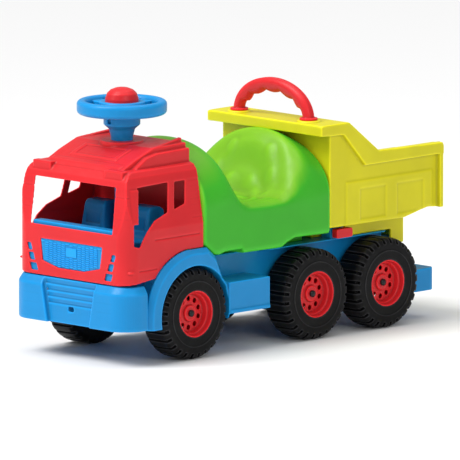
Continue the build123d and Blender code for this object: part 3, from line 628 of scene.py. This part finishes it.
def bumper_rings(levels):
    """Round-cornered form of the bumper from (height, inset) levels."""
    base = AXLE
    corner, half, front, back = 40.0, 136.0, base - 158.0, base - 100.0
    verts = []
    arc = 14
    for z, inset in levels:
        loop = []
        for k in range(arc + 1):
            angle = math.pi / 2 * k / arc
            loop.append((half - corner + (corner - inset) * math.cos(angle),
                         front + corner - (corner - inset) * math.sin(angle)))
        loop += [(-x, y) for x, y in loop[::-1]]
        loop += [(-(half - inset), back), (half - inset, back)]
        verts += [(x * MM, y * MM, z * MM) for x, y in loop]
    width = 2 * (arc + 1) + 2
    return mesh_object("tool", verts, skin(len(levels), width))


def bumper():
    """Bumper with faceted pods and, between them, receding slats over a band of fine ribs."""
    base = AXLE
    low, high = bumper_low.z / MM, bumper_high.z / MM
    rear = bumper_high.y / MM
    face = base - 150.5
    body = bumper_rings([(59.0, 1.6), (60.6, 0.3), (62.5, 0.0), (119.0, 0.0), (121.5, 0.8), (130.5, 6.6),
                         (132.5, 8.8)])
    cavity = bumper_rings([(low - 5, 3.5), (118.0, 3.5), (high - 3, 10.0)])
    cavity = cut(cavity, [box((-150, 150), (base - 170, base - 147.0), (low - 6, high + 5))])
    cuts = [box((-150, 150), (base - 108.5, base - 90), (low - 5, high + 5)), cavity,
            box((-83, 83), (base - 147.0, base - 90), (low - 5, high + 5)),
            prism([(47.5, low - 2), (60.5, high - 8), (60.5, high + 2), (-60.5, high + 2), (-60.5, high - 8),
                   (-47.5, low - 2)], base - 160, face, "y"),
            box((-6.2, 6.2), (base - 165, base - 140), (80.2, 87.8))]
    for top, bottom in ((131.5, 121.2), (120.0, 110.2), (109.0, 100.2), (99.0, 90.0)):
        half = 49.0 + 10.0 * (bottom - 74) / 50
        cuts.append(prism([(face - 1, top), (face + 0.2, top), (face + 2.8, bottom), (face - 1, bottom)],
                          -half, half, "x"))
    for k in range(-10, 11):
        if abs(k) > 1:
            cuts.append(box((k * 4.4 - 0.9, k * 4.4 + 0.9), (face - 1, face + 1.5), (76.5, 87.5)))
    for side in (-1, 1):
        for z in (88.0, 104.0):
            cuts.append(box(sorted((side * 66, side * 128)), (base - 159, base - 157.4), (z, z + 1.2)))
    work = cut(body, cuts)
    bosses = copy_of("front_bumper")
    keep = cut(bosses, [box((-150, 150), (base - 170, base - 148.0), (low - 5, high + 5)),
                        box((-150, -84), (base - 150, rear + 5), (low - 5, high + 5)),
                        box((84, 150), (base - 150, rear + 5), (low - 5, high + 5))])
    piece = moulded(join([work, keep]), "front_bumper.look", MEDIUM, 4)
    finish_piece(piece, "truck", "blue_plastic", "front_bumper")


# ---- tyres ---------------------------------------------------------------------------------------

TREAD_LUGS = 28


def tyre(node):
    """Tyre with a notch in the outer shoulder at the end of every tread groove."""
    low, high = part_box(node)
    outer = max(abs(low.x), abs(high.x)) / MM
    side = 1 if high.x > 0 else -1
    radius = (high.z - low.z) / 2 / MM
    centre_y, centre_z = (low.y + high.y) / 2 / MM, (low.z + high.z) / 2 / MM
    notches = []
    for lug in range(TREAD_LUGS):
        angle = math.tau * (lug + 0.5) / TREAD_LUGS
        depth = sorted((side * (outer - 8.0), side * (outer + 1)))
        notch = box(depth, (-2.6, 2.6), (radius - 9.5, radius + 2))
        turn = Matrix.Translation(Vector((0, centre_y, centre_z)) * MM) @ Matrix.Rotation(angle, 4, "X")
        notch.data.transform(turn)
        notches.append(notch)
    softened(node, FINE, 3, cuts=notches)


def rim(node):
    """Rim with the web that closes it behind the holed disc."""
    low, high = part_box(node)
    side = 1 if high.x > 0 else -1
    inner = min(abs(low.x), abs(high.x)) / MM
    radius = (high.z - low.z) / 2 / MM
    axle = (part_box("axle_front")[1].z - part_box("axle_front")[0].z) / 2 / MM
    web = lying_disc(radius - 2.0, side * (inner + 2.0), side * (inner + 4.6))
    web = cut(web, [lying_disc(axle + 2.0, side * inner, side * (inner + 7.0))])
    web.data.transform(Matrix.Translation((0, (low.y + high.y) / 2, (low.z + high.z) / 2)))
    softened(node, FINE, 3, adds=[web])


def lying_disc(radius, start, end, count=64):
    """Round slab whose axis lies along X."""
    return prism(circle(0, 0, radius, count), start, end, "x")


# ---- bed, cab seats and horn ---------------------------------------------------------------------

def bed():
    """Bed with the side walls that run over the deck from the latch to the tail."""
    pin_low, pin_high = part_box("hinge_pin")
    pin_y, pin_z = (pin_low.y + pin_high.y) / 2 / MM, (pin_low.z + pin_high.z) / 2 / MM
    knob_low, knob_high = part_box("latch_knob_left")
    front = knob_high.y / MM + 0.5
    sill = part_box("cab_seats")[0].z / MM + 0.3
    outer = pin_high.x / MM + 0.5
    points = [(front, sill), (pin_y - 8, sill), (pin_y - 8, pin_z - 5), (pin_y + 22, pin_z - 10),
              (pin_y + 22, pin_z + 41), (front, pin_z + 41)]
    wall = prism(points, outer - 5.0, outer, "x")
    softened("tipper_bed", MEDIUM, 14, adds=both(wall))


def cab_seats():
    """Two round-shouldered seats on their joining plate, each with a sunk face on its back rest."""
    low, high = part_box("cab_seats")
    mesh = frame["nodes"]["cab_seats"].data
    top = high.z / MM
    inner = min(abs(v.co.x) for v in mesh.vertices if v.co.z > (low.z + high.z) / 2) / MM
    outer, front, back, foot = high.x / MM, low.y / MM, high.y / MM, low.z / MM
    profile = [(front, foot + 6), (front, foot + 43), (front + 6, foot + 45.5), (back - 54, foot + 38),
               (back - 46, foot + 44), (back - 40, top - 6), (back - 34, top), (back - 12, top),
               (back - 3, top - 6), (back, foot + 6)]
    block = prism(profile, inner, outer, "x")
    for vert in block.data.vertices:
        share = max(0.0, vert.co.z / MM - foot - 44) / (top - foot - 44)
        middle = (inner + outer) / 2
        vert.co.x = (middle + (vert.co.x / MM - middle) * (1 - 0.16 * share)) * MM
    bevel = block.modifiers.new("bevel", "BEVEL")
    bevel.width = 7.5 * MM
    bevel.segments = 5
    block = evaluated(block, "tool")
    recess = box((inner + 10, outer - 10), (back - 60, back - 41.5), (foot + 55, top - 11))
    block = cut(block, [recess])
    plate = box((-inner - 6, inner + 6), (front + 2, front + 40), (foot, foot + 3))
    feet = [box((inner + 5, outer - 5), (front + 5, back - 5), (foot, foot + 12))]
    work = join(both(block) + both(feet[0]) + [plate])
    piece = moulded(work, "cab_seats.look", MEDIUM, 10)
    finish_piece(piece, BODY_OF["cab_seats"], SLOT_OF["cab_seats"], "cab_seats")


def horn():
    """Domed button with the pinhole that lets its air out."""
    low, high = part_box("horn_button")
    top = high.z / MM
    hole = disc(0, (low.y + high.y) / 2 / MM - 4.0, 1.5, top - 4.0, top + 1.0, 20)
    softened("horn_button", FINE, cuts=[hole])


# ---- carried-over nodes --------------------------------------------------------------------------

def carried_over():
    """Materials for every CAD node that still shows."""
    for node, obj in frame["nodes"].items():
        if obj.hide_render:
            continue
        slot = SLOT_OF[node]
        obj.data.materials.clear()
        obj.data.materials.append(MATERIALS[slot])


# ---- stage ---------------------------------------------------------------------------------------

def floor():
    half = 14.0
    corners = [(-half, -half, 0), (half, -half, 0), (half, half, 0), (-half, half, 0)]
    obj = mesh_object("floor", corners, [[0, 1, 2, 3]])
    mat, _, shader = material("floor")
    shader.inputs["Base Color"].default_value = (0.93, 0.93, 0.93, 1.0)
    shader.inputs["Roughness"].default_value = 0.55
    shader.inputs["Specular IOR Level"].default_value = 0.25
    obj.data.materials.append(mat)


def area_light(name, place, aim, size, power):
    light = bpy.data.lights.new(name, "AREA")
    light.shape = "RECTANGLE"
    light.size, light.size_y = size
    light.energy = power
    obj = bpy.data.objects.new(name, light)
    obj.location = place
    obj.rotation_euler = (Vector(aim) - Vector(place)).to_track_quat("-Z", "Y").to_euler()
    bpy.context.scene.collection.objects.link(obj)


def studio():
    floor()
    world = bpy.data.worlds.new("studio")
    world.use_nodes = True
    world.node_tree.nodes["Background"].inputs["Color"].default_value = (1.0, 1.0, 1.0, 1.0)
    world.node_tree.nodes["Background"].inputs["Strength"].default_value = 0.40
    bpy.context.scene.world = world
    middle = (0.0, 0.0, 0.2)
    sun = bpy.data.lights.new("sun", "SUN")
    sun.energy = 2.4
    sun.angle = math.radians(32.0)
    overhead = bpy.data.objects.new("sun", sun)
    overhead.rotation_euler = (-Vector((-0.22, -0.52, 0.83))).to_track_quat("-Z", "Y").to_euler()
    bpy.context.scene.collection.objects.link(overhead)
    area_light("side", (2.4, -0.9, 1.5), middle, (1.2, 1.0), 11.0)
    area_light("top", (0.1, 0.3, 2.8), middle, (2.2, 2.2), 24.0)
    area_light("strip", (-0.9, -2.0, 1.7), middle, (0.4, 1.4), 9.0)


def camera():
    """Long-lens camera low in front of the truck's left side."""
    data = bpy.data.cameras.new("camera")
    data.lens = 1500.0
    data.sensor_width = 36.0
    data.clip_end = 60.0
    obj = bpy.data.objects.new("camera", data)
    azimuth, elevation = math.radians(44.7), math.radians(9.0)
    distance = 31.455
    target = Vector((0.0, 0.0035, 0.1737))
    away = Vector((math.sin(azimuth) * math.cos(elevation), -math.cos(azimuth) * math.cos(elevation),
                   math.sin(elevation)))
    obj.location = target + away * distance
    obj.rotation_euler = (-away).to_track_quat("-Z", "Y").to_euler()
    bpy.context.scene.collection.objects.link(obj)
    bpy.context.scene.camera = obj
    bpy.context.scene.view_settings.view_transform = "Standard"


def main():
    cab()
    grille_weave()
    bumper()
    seat()
    handle()
    bed()
    cab_seats()
    for node in ("chassis", "rear_bumper", "mudguard_step_left", "mudguard_step_right", "front_insert"):
        softened(node)
    horn()
    for node in ("steering_wheel", "steering_column", "latch_knob_left", "latch_knob_right"):
        softened(node, FINE)
    for side in ("left", "right"):
        for station in ("front", "middle", "rear"):
            tyre(f"tyre_{station}_{side}")
            rim(f"rim_{station}_{side}")
    carried_over()
    studio()
    camera()


main()
